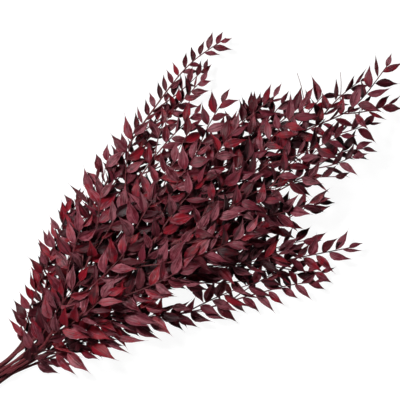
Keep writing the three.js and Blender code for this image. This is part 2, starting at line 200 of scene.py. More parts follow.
# Room is a block of cells, each with the number of the shoot that holds it.
cellSize = 2.0
roomCorner = np.array([-80.0, -290.0, -10.0])
roomCells = (460, 300, 90)
heldBy = np.zeros(roomCells, np.uint16).ravel()
around = np.array([(a, b, c) for a in (-1, 0, 1) for b in (-1, 0, 1) for c in (-1, 0, 1)])


def cellsOf(points, steps=0):
    cells = np.floor((points - roomCorner) / cellSize).astype(int) + steps
    return np.ravel_multi_index(tuple(np.moveaxis(cells, -1, 0)), roomCells)


def isFree(points, holder):
    held = heldBy[cellsOf(points)]
    return bool(np.all((held == 0) | (held == holder)))


def take(cells, holder):
    cells = cells.ravel()
    heldBy[cells[heldBy[cells] == 0]] = holder


def takeAround(points, holder):
    take(cellsOf(points[:, None, :], around), holder)


shoot = {
    "firstFork": 15,           # beyond where the foliage begins
    "forkSpacing": 36,         # along a stem, from one side shoot to the next on the other side
    "bareTip": 60,             # this much of a stem beyond its last side shoot
    "angle": 34, "lift": 26, "turn": 14,  # degrees: from the stem, out of its level, and of each try for room
    "length": 150, "taper": 0.65,  # at the lowest fork, and at most this share of the rest of the stem
    "uneven": {"fork": 9, "angle": (0.8, 1.2), "length": (0.8, 1.15)},  # mm at most, and shares
    "bentBack": 0.3,           # the share of its angle that it keeps beyond its middle
    "radius": (1.0, 0.5),      # at its fork and at its tip
    "lowest": 7, "highest": 122,   # over the surface
    "bare": 0.1, "pastLastLeaf": 0.015,  # shares of its length without leaves, from the fork and at the tip
    "points": 80,
    "clear": (0.12, 0.06),     # it is near its own stem over this share: where room is asked for, and taken
    "leftOfFan": (57, 0.205), "rightOfFan": (18, -0.45),  # where each edge crosses y, and its slope
    "clearings": [(304, -88, 15), (322, -96, 13), (522, -133, 16), (529, -83, 11), (554, -101, 11),
                  (585, -124, 17), (697, 14, 28)],
}
turnsTried = (0, 1, -1, 2, -2, 3, -3, 4, -4)  # until a shoot or a leaf finds room
holders = itertools.count(1)


# A side shoot leaves at an angle and bends back to a share of it half way along.
def shootPath(axis, share, side, angle, lift, length):
    ahead, left, above = (direction[0] for direction in axis.frames(share))
    root = axis.points(share)[0]
    middle = root + turnedAway(ahead, left, above, angle, side, lift) * length / 2
    kept = shoot["bentBack"]
    tip = middle + turnedAway(ahead, left, above, kept * angle, side, kept * lift) * length / 2
    for point in (middle, tip):
        point[2] = min(max(point[2], shoot["lowest"]), shoot["highest"])
    return Path(bentOnce(root, middle, tip)), tip


def isInFan(point):
    leftAt, leftSlope = shoot["leftOfFan"]
    rightAt, rightSlope = shoot["rightOfFan"]
    return rightAt + rightSlope * point[0] < point[1] < leftAt + leftSlope * point[0]


# Clearings are open places between the sprays, each a circle seen from above: its middle and its radius.
def isInClearing(points):
    away = [np.hypot(points[..., 0] - x, points[..., 1] - y) - radius for x, y, radius in shoot["clearings"]]
    return bool(np.min(away) < 0)


def growShoots(index, stem, axis, draw):
    uneven, (freeFrom, takenFrom) = shoot["uneven"], shoot["clear"]
    first = axis["butt"] + stem["foliage"] + shoot["firstFork"]
    last = axis["path"].length - stem.get("bareTip", shoot["bareTip"])
    count = math.floor((last - first) / (shoot["forkSpacing"] * axis["leafSize"]) + 0.5)
    grown = []
    for n in range(count + 1):
        fork = first + (last - first) * n / count + draw(-uneven["fork"], uneven["fork"])
        side = 1 if (n + index) % 2 == 0 else -1
        angle = math.radians(shoot["angle"] * stem["spread"] * draw(*uneven["angle"]))
        lift = math.radians(draw(-shoot["lift"], shoot["lift"]))
        length = min(shoot["length"] * draw(*uneven["length"]), (axis["path"].length - fork) * shoot["taper"])
        holder = next(holders)
        share = fork / axis["path"].length
        for turn in turnsTried:
            turned = lift + turn * math.radians(shoot["turn"])
            path, tip = shootPath(axis["path"], share, side, angle, turned, length)
            passed = path.points(shares(shoot["points"], freeFrom))
            if isFree(passed, holder) and isInFan(tip) and not isInClearing(passed):
                takeAround(path.points(shares(shoot["points"], takenFrom)), holder)
                grown.append({"path": path, "holder": holder, "length": length, "bare": shoot["bare"],
                              "fork": share, "farness": fork / bunch["farthestFork"],
                              "leafSize": axis["leafSize"]})
                break
    return grown


leaf = {
    "spacing": 10,             # along a shoot, from one leaf to the next on the other side
    "length": (49, 35), "widthShare": (0.38, 0.3),  # near the band and at the far tips
    "angle": (48, 16),         # degrees between a leaf and its shoot, along it and at its tip
    "stray": {"angle": 9, "down": 20, "up": 26, "roll": 34},  # at most, in degrees
    "droop": (-0.15, 0.34), "sway": (-0.2, 0.2), "fold": (0.2, 0.65),  # least and most
    "uneven": {"length": (0.84, 1.14), "width": (0.88, 1.14)},
    "last": 0.985,             # its place along a shoot
    "endLeaves": 3, "endSize": 0.7,  # this many leaves gather at a shoot's tip, and the last one's size
    "archEnd": 0.999,          # the arch stops short of its end, where its sine would fall below nought
    "widestPower": 0.62,       # below 1 it puts the widest place before the middle
    "narrowing": 1.1,          # towards the tip
    "room": 1.2,               # kept free above and below a blade
    "rows": 20, "columns": 4,  # of the points where room is asked for, the columns on each side of the rib
    "clearRows": 3,            # next to the shoot, that aren't counted
    "tipRow": 12,              # the part of a leaf beyond this row may reach into a clearing
    "liftTurn": 15, "rollTurn": 9,  # degrees of each try for room
}


# The room that a leaf needs: its outline is a sine arch with the widest place before the middle, and it bends
# down and aside with the square of the length, while its halves fold up.
def leafRoom(blade, raised):
    along = shares(leaf["rows"])[leaf["clearRows"]:, None, None]
    arch = np.sin(np.pi * np.minimum(along, leaf["archEnd"]) ** leaf["widestPower"])
    outline = arch ** (1 + leaf["narrowing"] * along)
    across = shares(2 * leaf["columns"], -1, 1)[None, :, None] * outline
    bend = along * along * blade["length"]
    half = blade["width"] / 2
    points = blade["base"] + blade["ahead"] * along * blade["length"]
    points = points + blade["left"] * (across * half + blade["sway"] * bend)
    rise = raised - blade["droop"] * bend + np.abs(across) * blade["fold"] * half
    points = points + blade["above"] * rise
    points[..., 2] = np.maximum(points[..., 2], 0)
    return points


def placeLeaf(twig, share, side, endShare, draw):
    stray, uneven = leaf["stray"], leaf["uneven"]
    ahead, left, above = (direction[0] for direction in twig["path"].frames(share))
    angle = math.radians(between(leaf["angle"], endShare) + draw(-stray["angle"], stray["angle"]))
    lift = math.radians(draw(-stray["down"], stray["up"]))
    roll = math.radians(draw(-stray["roll"], stray["roll"]))
    length = between(leaf["length"], twig["farness"]) * draw(*uneven["length"]) * twig["leafSize"]
    length *= between((1, leaf["endSize"]), endShare ** 3)
    width = length * between(leaf["widthShare"], twig["farness"]) * draw(*uneven["width"])
    blade = {"base": twig["path"].points(share)[0], "length": length, "width": width,
             "droop": draw(*leaf["droop"]), "sway": draw(*leaf["sway"]), "fold": draw(*leaf["fold"]),
             "farness": twig["farness"]}
    tip = leaf["tipRow"] - leaf["clearRows"], leaf["columns"]
    for turn in turnsTried:
        tilted = lift + turn * math.radians(leaf["liftTurn"])
        rolled = roll + turn * math.radians(leaf["rollTurn"])
        blade["ahead"] = turnedAway(ahead, left, above, angle, side, tilted)
        flat = unit(np.cross(above, blade["ahead"]))
        blade["left"] = flat * math.cos(rolled) + np.cross(blade["ahead"], flat) * math.sin(rolled)
        blade["above"] = np.cross(blade["ahead"], blade["left"])
        needed = leafRoom(blade, 0)
        if isFree(needed, twig["holder"]) and not isInClearing(needed[tip]):
            for raised in (-leaf["room"], 0, leaf["room"]):
                take(cellsOf(leafRoom(blade, raised)), twig["holder"])
            return blade
    return None


def growLeaves(twig, draw):
    count = math.floor(twig["length"] * (1 - twig["bare"]) / (leaf["spacing"] * twig["leafSize"]) + 0.5)
    blades = []
    for n, share in enumerate(shares(count, twig["bare"], leaf["last"])):
        endShare = max(0, 1 - (count - n) / leaf["endLeaves"])
        blade = placeLeaf(twig, share, 1 if n % 2 == 0 else -1, endShare, draw)
        if blade is not None:
            blades.append({**blade, "share": share})
    return blades


def stemPath(stem, butt):
    y = stem["slot"][0] * bunch["stemPitch"]
    rise = stem["slot"][1] * bunch["rowRise"]
    cutEnd = (-butt, y * bunch["buttSpread"], bunch["lowestRow"] + rise * bunch["buttSpread"])
    throughBand = [(x, y, bunch["lowestRow"] + rise) for x in (-bunch["bandWidth"], bunch["bandWidth"])]
    return Path(throughKnots([cutEnd, *throughBand, *stem["route"]]))


# The main axes take their room first, then every stem's side shoots, then the leaves.
def growBunch():
    grown = []
    for index, stem in enumerate(bunch["stems"]):
        butt = bunch["buttLength"] - bunch["buttUneven"] * (index * spreadEvenly % 1)
        path = stemPath(stem, butt)
        axis = {"path": path, "length": path.length, "butt": butt, "holder": next(holders),
                "bare": (butt + stem["foliage"]) / path.length, "farness": bunch["axisFarness"],
                "leafSize": stem.get("leafSize", 1)}
        takeAround(path.points(shares(bunch["axisPoints"])), axis["holder"])
        draw = randomStream(bunch["seed"] + bunch["seedStep"] * index)
        grown.append({"index": index, "stem": stem, "axis": axis, "draw": draw})
    for one in grown:
        one["shoots"] = growShoots(one["index"], one["stem"], one["axis"], one["draw"])
    for one in grown:
        for twig in [*one["shoots"], one["axis"]]:
            twig["leaves"] = growLeaves(twig, one["draw"])
        one["shoots"] = [twig for twig in one["shoots"] if twig["leaves"]]
    return grown


# How many held cells there are from each cell upward.
def countAbove():
    held = heldBy.reshape(roomCells)[:, :, ::-1] > 0
    return np.cumsum(held, axis=2, dtype=np.int16)[:, :, ::-1].ravel()


stems = growBunch()
cellsAbove = countAbove()
twigCount = sum(len(one["shoots"]) for one in stems)
leafCount = sum(len(twig["leaves"]) for one in stems for twig in [*one["shoots"], one["axis"]])
print("bunch grown:", twigCount, "side shoots,", leafCount, "leaves")


# Surfaces are gathered in lists and put into one mesh: points, quads and triangles that name them, each
# corner's place on the finish, three marks for each point, and a finish number for each face. An edge is
# sharp where both its points are creased.
class Surfaces:
    def __init__(self):
        self.points, self.marks, self.count = [], [], 0
        self.faces = {4: [], 3: []}
        self.places = {4: [], 3: []}
        self.finishes = {4: [], 3: []}
        self.creased = []

    def add(self, points, quads, quadPlaces, triangles=(), trianglePlaces=(), marks=(0, 0, 0), creased=(),
            finish=0):
        for corners, faces, places in ((4, quads, quadPlaces), (3, triangles, trianglePlaces)):
            self.faces[corners].append(np.asarray(faces, int).reshape(-1, corners) + self.count)
            self.places[corners].append(np.asarray(places).reshape(-1, corners, 2))
            self.finishes[corners].append(np.full(len(self.faces[corners][-1]), finish))
        self.creased.append(np.asarray(creased, int).ravel() + self.count)
        self.points.append(points.reshape(-1, 3))
        self.marks.append(np.broadcast_to(marks, (len(self.points[-1]), 3)))
        self.count += len(self.points[-1])

    def toPiece(self, name, finishes):
        points = np.concatenate(self.points) * millimetre + bandMiddle
        quads, triangles = np.concatenate(self.faces[4]), np.concatenate(self.faces[3])
        mesh = bpy.data.meshes.new(name)
        mesh.vertices.add(len(points))
        mesh.vertices.foreach_set("co", points.astype(np.float32).ravel())
        corners = np.concatenate([quads.ravel(), triangles.ravel()])
        mesh.loops.add(len(corners))
        mesh.loops.foreach_set("vertex_index", corners.astype(np.int32))
        starts = np.concatenate([4 * np.arange(len(quads)), 4 * len(quads) + 3 * np.arange(len(triangles))])
        mesh.polygons.add(len(starts))
        mesh.polygons.foreach_set("loop_start", starts.astype(np.int32))
        mesh.polygons.foreach_set("material_index", np.concatenate(self.finishes[4] + self.finishes[3]))
        mesh.polygons.foreach_set("use_smooth", np.ones(len(starts), bool))
        places = mesh.uv_layers.new(name="surfacePlace")
        flat = np.concatenate([part.ravel() for part in self.places[4] + self.places[3]])
        places.data.foreach_set("uv", flat.astype(np.float32))
        marks = np.column_stack([np.concatenate(self.marks), np.ones(len(points))])
        layer = mesh.attributes.new("marksAndPaintedShade", "FLOAT_COLOR", "POINT")
        layer.data.foreach_set("color", marks.astype(np.float32).ravel())
        mesh.update(calc_edges=True)
        isCreased = np.zeros(len(points), bool)
        isCreased[np.concatenate(self.creased)] = True
        ends = np.zeros(2 * len(mesh.edges), np.int32)
        mesh.edges.foreach_get("vertices", ends)
        sharp = mesh.attributes.new("sharp_edge", "BOOLEAN", "EDGE")
        sharp.data.foreach_set("value", isCreased[ends].reshape(-1, 2).all(axis=1))
        for finish in finishes:
            mesh.materials.append(finish)
        piece = bpy.data.objects.new(name, mesh)
        bpy.context.scene.collection.objects.link(piece)
        return piece


# The faces of a skin of rings: quads between rings that follow each other, and a fan to a point at each end.
# Points are numbered ring by ring, then the first end's point and the last end's.
def skinFaces(rings, sides):
    start = (np.arange(rings - 1) * sides)[:, None]
    here = np.arange(sides)[None, :]
    there = (here + 1) % sides
    quads = np.stack([start + here, start + there, start + there + sides, start + here + sides], axis=-1)
    near, far, last = rings * sides, rings * sides + 1, (rings - 1) * sides
    here, there = here[0], there[0]
    fans = [np.stack([np.full(sides, near), there, here], axis=-1),
            np.stack([np.full(sides, far), last + here, last + there], axis=-1)]
    return quads.reshape(-1, 4), np.concatenate(fans)


leafForm = {
    "rings": (0.05, 0.12, 0.22, 0.36, 0.52, 0.68, 0.84),  # shares of a leaf's length
    "stalk": (0.06, 0.07),     # its share of the length, and of the half width
    "stalkUpTo": 0.2,          # no ring before this is narrower than the stalk
    "archEnd": 0.9999,
    "tipDrawnOut": 2.5,        # how much the tip narrows before its point
    "length": (1.0, 1.07),     # of the grown leaf's, near the band and at the far tips
    "width": (0.92, 1.1),
    "deeperFold": 0.2,
    "cheek": 0.09,             # swell of each half, of the half width
    "thickness": 0.55,         # mm at the rib
    "thinnerEdge": 0.4,        # this share of it is missing at the edge
    "twist": 38,               # degrees, at most, at the tip
    "twistPower": 1.5,
    "wave": 0.16,              # of the edges, at most, of the half width
    "waveRadians": (8, 1.5),   # of a wave along a leaf, and from the rib to its edge
    "hook": 0.11,              # how far a tip strays aside, at most, of the length
    "overFloor": (0.1, 0.3),   # mm that an underside and a face keep over the surface
    "nearBand": 0.3,           # leaves with less farness than this are the nearest to the band
    "curledShare": (0.15, 0.32),  # elsewhere, and among the nearest ones
    "curledWidth": (0.35, 0.75),  # of the flat leaf's, from the most to the least curled
    "crumpledShare": 0.3, "crumple": 4.0,  # among the nearest ones, and how much higher their waves are
}

# A leaf's section: its points run from the left edge over the face to the right edge and back below.
sectionAcross = np.array([1, 0.55, 0, -0.55, -1, -0.55, 0, 0.55])  # of the half width
sectionFace = np.array([0, 1, 1, 1, 0, -1, -1, -1])  # of the half thickness
sectionSides = len(sectionAcross)


# A leaf's skin is a lens of such sections. Half the width is a sine arch whose power grows towards the tip.
# The rib bends down and aside with the square of the length, the halves fold up, swell and wave, and the
# section twists. Near both ends the thickness falls with the root of the width. The points come back by leaf,
# station and section point, the stations in the order of along.
def leafPoints(along, column, random):
    number = lambda key: column(key)[:, None, None]
    direction = lambda key: column(key)[:, None, None, :]
    each = lambda values: values[:, None, None]
    across, along = sectionAcross[None, None, :], along[None, :, None]
    stalkEnd, stalkWidth = leafForm["stalk"]
    flared = np.clip((along - stalkEnd) / (1 - stalkEnd), 0, leafForm["archEnd"])
    outline = np.sin(np.pi * flared ** leaf["widestPower"]) ** (1 + leafForm["tipDrawnOut"] * flared)
    outline = np.maximum(outline, np.where(along < leafForm["stalkUpTo"], stalkWidth, 0))
    isNear = column("farness") < leafForm["nearBand"]
    farShare, nearShare = leafForm["curledShare"]
    curled = random(0, 1) < np.where(isNear, nearShare, farShare)
    length = number("length") * between(leafForm["length"], number("farness"))
    half = number("width") / 2 * between(leafForm["width"], number("farness")) * outline
    half = half * each(np.where(curled, random(*leafForm["curledWidth"]), 1))
    bend = along ** 2 * length
    phase = each(random(0, 2 * np.pi))
    crumpled = (random(0, 1) < leafForm["crumpledShare"]) & isNear
    height = each(leafForm["wave"] * random(0, 1) * np.where(crumpled, leafForm["crumple"], 1))
    waveAlong, waveAcross = leafForm["waveRadians"]
    wave = height * np.sin(waveAlong * along + phase + waveAcross * across) * across ** 2
    cheek = leafForm["cheek"] * np.sin(np.pi * np.abs(across))
    swell = half * (np.abs(across) * (number("fold") + leafForm["deeperFold"]) + cheek + wave)
    thickness = leafForm["thickness"] * (1 - leafForm["thinnerEdge"] * across ** 2)
    swell = swell + sectionFace * thickness / 2 * np.sqrt(np.minimum(outline * 2, 1))
    twist = np.radians(leafForm["twist"]) * each(random(-1, 1)) * along ** leafForm["twistPower"]
    hook = leafForm["hook"] * each(random(-1, 1)) * along ** 2
    aside = half * across * np.cos(twist) - swell * np.sin(twist) + (number("sway") + hook) * bend
    raised = half * across * np.sin(twist) + swell * np.cos(twist) - number("droop") * bend
    points = direction("base") + direction("ahead") * (along * length + 0 * across)[..., None]
    points = points + direction("left") * aside[..., None] + direction("above") * raised[..., None]
    lowest = np.where(sectionFace > 0, leafForm["overFloor"][1], leafForm["overFloor"][0])
    points[..., 2] = np.maximum(points[..., 2], lowest)
    return points, crumpled


# How much foliage lies over a leaf paints shade on it: a hidden leaf gets a lower tone and seed, and comes
# out darker and less dusty. Redness is the leaves' own colour.
leafToneAndPaintedShade = {
    "readAt": 0.6,             # the share of a leaf's length where it is found out how hidden the leaf is
    "ownCells": 3,             # that many cells over this place are the leaf's own room
    "hiddenUnder": 8,          # held cells over them hide it wholly
    "tone": (0.25, 1.0),       # what is left of it on a hidden leaf and on an open one, as painted shade
    "seed": (0.2, 1.0), "seedShift": (-0.15, 0.0),
    "redness": (1.18, 0.73),   # near the band and at the far tips
}


# Each leaf's three marks are draws: how far its dye has turned mauve, how red it is, and a seed for dust,
# dark places and streaks. Leaves with held cells over them get a lower tone and seed. This is painted shade,
# which makes them darker and less dusty. Crumpled ones are the reddest.
def leafMarks(column, random, crumpled):
    middles = column("base") + column("ahead") * column("length")[:, None] * leafToneAndPaintedShade["readAt"]
    middles[:, 2] = np.maximum(middles[:, 2], 0)
    over = cellsAbove[cellsOf(middles, (0, 0, leafToneAndPaintedShade["ownCells"]))]
    openness = 1 - np.minimum(over / leafToneAndPaintedShade["hiddenUnder"], 1)
    tone, redness, seed = random(0, 1), random(0, 1), random(0, 1)
    # Painted shade: tone and seed fall on leaves with foliage over them.
    tone = tone * between(leafToneAndPaintedShade["tone"], openness)
    redness = np.where(crumpled, 1, redness * between(leafToneAndPaintedShade["redness"], column("farness")))
    seed = seed * between(leafToneAndPaintedShade["seed"], openness) + between(leafToneAndPaintedShade["seedShift"], openness)
    return np.stack([tone, redness, seed], axis=-1)


# All leaves of one stem as one skin: a ring of points at each station, and a point at either end of the leaf.
def leafSurfaces(blades, chance):
    column = lambda key: np.array([one[key] for one in blades])
    random = lambda low, high: chance.uniform(low, high, len(blades))
    rings = len(leafForm["rings"])
    points, crumpled = leafPoints(np.array([*leafForm["rings"], 0, 1]), column, random)
    marks = leafMarks(column, random, crumpled)
    skinCount = rings * sectionSides
    skin = points[:, :rings].reshape(len(blades), skinCount, 3)
    ends = points[:, rings:].mean(axis=2)
    quads, fans = skinFaces(rings, sectionSides)
    alongSkin = np.concatenate([np.repeat(leafForm["rings"], sectionSides), [0, 1]])
    acrossSkin = np.concatenate([np.tile(sectionAcross, rings), [0, 0]])
    places = np.stack([0.5 + acrossSkin / 2, alongSkin], axis=-1)
    edge = np.concatenate([np.arange(0, skinCount, sectionSides // 2), [skinCount, skinCount + 1]])
    step = (np.arange(len(blades)) * (skinCount + 2))[:, None, None]
    repeat = lambda faces: np.broadcast_to(places[faces], (len(blades), *faces.shape, 2))
    return {"points": np.concatenate([skin, ends], axis=1), "marks": np.repeat(marks, skinCount + 2, axis=0),
            "quads": quads + step, "quadPlaces": repeat(quads), "triangles": fans + step,
            "trianglePlaces": repeat(fans), "creased": edge[None, :] + step[:, :, 0]}


tubeForm = {
    "ringStep": 7.0,
    "nodeSwell": 0.28, "nodeReach": 1.6,  # of the radius, and mm to either side of a node
    "ridges": 0.06,            # of the radius
    "endRound": 0.6,           # of the radius, beyond the last ring
    "patternStep": 10,         # mm along a tube for each unit of its finish
    "axisSides": 10, "shootSides": 6,
    "axisTaper": 1.2,          # above 1 an axis keeps its thickness for longer
}


# A tube round a path: its radius falls from root to tip, swells by a bell curve at each node, and has shallow
# ridges along it. Both ends close on a point.
def tubeSurfaces(path, nodes, radius, sides, power=1.0, end=1.0):
    reach = tubeForm["nodeReach"] / path.length
    even = shares(max(3, round(path.length / tubeForm["ringStep"])), 0, end)
    nodes = np.asarray(nodes)
    stations = np.concatenate([even, nodes, nodes - reach, nodes + reach])
    stations = np.unique(np.round(np.clip(stations, 0, end), 6))
    ahead, left, above = path.frames(stations)
    centres = path.points(stations)
    swell = np.minimum(np.exp(-((stations[:, None] - nodes[None, :]) / reach) ** 2).sum(axis=1), 1)
    radii = between(radius, stations ** power) * (1 + tubeForm["nodeSwell"] * swell)
    turn = 2 * np.pi * np.arange(sides) / sides
    ridged = 1 + tubeForm["ridges"] * np.cos(turn * (sides // 2))
    circle = left[:, None] * np.cos(turn)[:, None] + above[:, None] * np.sin(turn)[:, None]
    points = centres[:, None] + circle * (radii[:, None] * ridged)[..., None]
    ends = np.stack([centres[0], centres[-1] + ahead[-1] * radii[-1] * tubeForm["endRound"]])
    quads, fans = skinFaces(len(stations), sides)
    patternAlong = stations * path.length / tubeForm["patternStep"]
    nearRing = np.arange(len(quads)) // sides
    side = np.arange(len(quads)) % sides
    aroundPlaces = np.stack([side, side + 1, side + 1, side], axis=-1) / sides
    alongPlaces = patternAlong[np.stack([nearRing, nearRing, nearRing + 1, nearRing + 1], axis=-1)]
    fanPlaces = np.zeros((len(fans), 3, 2))
    fanPlaces[:sides, :, 1] = -1  # marks the cut end
    fanPlaces[sides:, :, 1] = patternAlong[-1]
    firstRing = np.arange(sides)
    return {"points": np.concatenate([points.reshape(-1, 3), ends]), "quads": quads,
            "quadPlaces": np.stack([aroundPlaces, alongPlaces], axis=-1), "triangles": fans,
            "trianglePlaces": fanPlaces, "creased": firstRing}


# Last year's leafless twigs stand out of the head: thin parabolas, from root over middle to tip.
filaments = {
    "radius": (0.7, 0.35), "sides": 5,
    "onStems": {2: [((622, -2, 84), (640, 26, 90), (646, 44, 92)),
                    ((668, -26, 80), (684, -12, 86), (694, 4, 88))]},
}


# Shader maths: a value is a socket, and each operation on it adds one Math node.
class Value:
    def __init__(self, socket):
        self.socket = socket

    def joined(self, operation, *parts):
        tree = self.socket.id_data
        node = tree.nodes.new("ShaderNodeMath")
        node.operation = operation
        for entry, part in zip(node.inputs, parts):
            if isinstance(part, Value):
                tree.links.new(part.socket, entry)
            else:
                entry.default_value = part
        return Value(node.outputs[0])

    def __add__(self, other):
        return self.joined("ADD", self, other)

    def __radd__(self, other):
        return self.joined("ADD", other, self)

    def __sub__(self, other):
        return self.joined("SUBTRACT", self, other)

    def __rsub__(self, other):
        return self.joined("SUBTRACT", other, self)

    def __mul__(self, other):
        return self.joined("MULTIPLY", self, other)

    def __rmul__(self, other):
        return self.joined("MULTIPLY", other, self)

    def __pow__(self, other):
        return self.joined("POWER", self, other)

    def size(self):
        return self.joined("ABSOLUTE", self)

    def sine(self):
        return self.joined("SINE", self)

    def held(self, low=0.0, high=1.0):
        return self.joined("MINIMUM", self.joined("MAXIMUM", self, low), high)


# Each value times the weight of its name, added up.
def weighed(weights, values):
    return sum(values[name] * weight for name, weight in weights.items())


# A finish is a material with one shader. Any node comes from add(): its type, settings and socket values.
class Finish:
    def __init__(self, name, **fixed):
        self.material = bpy.data.materials.new(name)
        self.material.use_nodes = True
        self.tree = self.material.node_tree
        self.shader = self.tree.nodes["Principled BSDF"]
        for key, value in fixed.items():
            self.shader.inputs[key.replace("_", " ")].default_value = value

    def add(self, kind, settings=None, **sockets):
        node = self.tree.nodes.new(kind)
        for key, value in (settings or {}).items():
            setattr(node, key, value)
        for key, value in sockets.items():
            self.join(next(s for s in node.inputs if s.enabled and s.name == key.replace("_", " ")), value)
        return node

    def join(self, entry, value):
        source = value.socket if isinstance(value, Value) else value
        if isinstance(source, bpy.types.NodeSocket):
            self.tree.links.new(source, entry)
        else:
            entry.default_value = source

    def mixed(self, share, first, second):
        node = self.add("ShaderNodeMix", {"data_type": "RGBA"}, Factor=share, A=first, B=second)
        return next(s for s in node.outputs if s.enabled)

    def noise(self, scale, detail, vector=None):
        source = vector or self.add("ShaderNodeTexCoord").outputs["Object"]
        node = self.add("ShaderNodeTexNoise", Vector=source, Scale=scale, Detail=detail)
        return Value(node.outputs[0]) - 0.5

    # The values that any look may weigh: 1 as a start, and its noises, which lie round nought.
    def noises(self, look):
        return {"start": 1, **{name: self.noise(*kind) for name, kind in look["noises"].items()}}

    def parts(self, socket):
        return [Value(out) for out in self.add("ShaderNodeSeparateXYZ", Vector=socket).outputs]

    def place(self):
        return self.parts(self.add("ShaderNodeUVMap", {"uv_map": "surfacePlace"}).outputs["UV"])[:2]

    def marks(self):
        return self.parts(self.add("ShaderNodeAttribute", {"attribute_name": "marksAndPaintedShade"}).outputs["Color"])

    def set(self, key, value):
        self.join(self.shader.inputs[key], value)

    # Each layer's share is held between nought and the most of it.
    def finished(self, look, values):
        color = look["ground"]
        for layer in look["layers"].values():
            share = weighed(layer["share"], values).held(0, layer["most"])
            color = self.mixed(share, color, layer["color"])
        self.set("Base Color", color)
        self.set("Roughness", weighed(look["roughness"], values))
        relief = {"Height": weighed(look["relief"], values), "Distance": look["height"]}
        self.set("Normal", self.add("ShaderNodeBump", Strength=look["strength"], **relief).outputs[0])
        return self.material


# A colour as red, green and blue of the screen from 0 to 255, worked out as light.
def tint(red, green, blue):
    screen = np.array([red, green, blue]) / 255
    light = np.where(screen <= 0.04045, screen / 12.92, ((screen + 0.055) / 1.055) ** 2.4)
    return (*light.tolist(), 1.0)


# A look's layers are laid over its ground in this order. Shares, roughness, relief and what runs in waves are
# given by weights, each under the name of the value that it weighs.
foliage = {
    "ground": tint(68, 8, 19), "sheen": tint(235, 190, 198),
    "layers": {
        # Hidden leaves, whose tone and seed are lowered, get less mauve and dusty and more dark: painted
        # shade.
        "mauve": {"color": tint(104, 34, 48), "most": 1.0,
                  "share": {"start": -0.24, "tone": 1.4, "mottle": 2.0, "streaks": 2.5}},
        "crimson": {"color": tint(132, 10, 28), "most": 0.85,
                    "share": {"start": -1.326, "redness": 2.21, "patch": 4.25, "mottle": -1.7}},
        "dusty": {"color": tint(150, 88, 98), "most": 0.7,
                  "share": {"start": -0.72, "seed": 1.2, "mottle": 1.6, "streaks": 2.0, "veins": 0.12,
                            "rim": 0.5}},
        # On hidden leaves this near-black is painted shade; elsewhere it darkens leaves at random, at tips
        # and in streaks.
        "dark": {"color": tint(22, 3, 8), "most": 0.88,
                 "share": {"start": 0.8, "seed": -4.0, "fine": -0.5, "streaks": -1.3, "tip": 0.5}},
        # A dark line along the rib: painted shade of the crease where the halves fold.
        "rib": {"color": tint(40, 5, 12), "most": 0.65, "share": {"rib": 0.65}},
    },
    "roughness": {"start": 0.44, "mottle": 0.3, "fine": 0.15},
    "relief": {"mottle": 1.2, "fine": 0.4, "veins": 0.5, "rib": -0.78},
    "height": 0.0003, "strength": 0.9,  # of the relief, the height in metres
    "noises": {"mottle": (150, 3), "patch": (60, 2), "fine": (700, 2)},  # scale and detail
    "veins": {"start": 0.75, "across": 9 * math.pi, "mottle": 1.5},  # radians
    "streaks": (9, 1.2, 90),   # across a leaf, along it, and how far apart those of two leaves lie
    "streakDetail": 2,
    "rimPower": 8, "tipPower": 5,  # the higher, the narrower
    "ribWidth": 0.125,         # of the half width
}


# Tone, redness and seed are a leaf's marks, across and along its places; tone and seed carry painted shade on
# hidden leaves. Rim and tip are powers of these, the rib falls to nought beside the middle and its dark line
# is painted shade of the fold's crease, veins are a sine, and streaks are a noise stretched along a leaf.
def foliageFinish():
    finish = Finish("driedFoliage", IOR=1.4, Specular_IOR_Level=0.4, Sheen_Weight=0.05, Sheen_Roughness=0.4)
    finish.set("Sheen Tint", foliage["sheen"])
    values = finish.noises(foliage)
    values["tone"], values["redness"], values["seed"] = finish.marks()
    u, along = finish.place()
    across = (u * 2 - 1).size()
    values.update(across=across, rim=across ** foliage["rimPower"], tip=along ** foliage["tipPower"])
    values["rib"] = (1 - across * (1 / foliage["ribWidth"])).held()
    values["veins"] = weighed(foliage["veins"], values).sine()
    streaksAcross, streaksAlong, apart = foliage["streaks"]
    stretched = finish.add("ShaderNodeCombineXYZ", X=u * streaksAcross, Y=along * streaksAlong,
                           Z=values["seed"] * apart)
    values["streaks"] = finish.noise(1, foliage["streakDetail"], stretched.outputs[0])
    return finish.finished(foliage, values)


bark = {
    "ground": tint(88, 38, 42),
    "layers": {
        "burgundy": {"color": tint(98, 24, 34), "most": 1.0, "share": {"start": 0.375, "patch": 2.5}},
        "pale": {"color": tint(140, 88, 88), "most": 0.5, "share": {"grooves": 0.18, "fine": 0.8}},
        "dark": {"color": tint(44, 16, 20), "most": 0.7,
                 "share": {"start": -0.24, "patch": -3.0, "grooves": -0.1}},
        "cut": {"color": tint(176, 128, 104), "most": 1.0, "share": {"along": -2.0}},
    },
    "roughness": {"start": 0.55, "fine": 0.3},
    "relief": {"grooves": 1.0, "fine": 0.8},
    "height": 0.00015, "strength": 0.8,
    "noises": {"wavy": (90, 3), "patch": (35, 2), "fine": (900, 2)},
    "grooves": {"start": 2.0, "around": 10 * math.pi, "wavy": 4.0},
}


# Grooves run along a stem and waver. Where the place along is below nought, the wood is cut and bare.
def barkFinish():
    finish = Finish("driedBark", IOR=1.45)
    values = finish.noises(bark)
    values["around"], values["along"] = finish.place()
    values["grooves"] = weighed(bark["grooves"], values).sine()
    return finish.finished(bark, values)


stemLook = {"leaves": 0, "wood": 1, "seed": 500}  # the numbers of the finishes, and of the first stem's draws


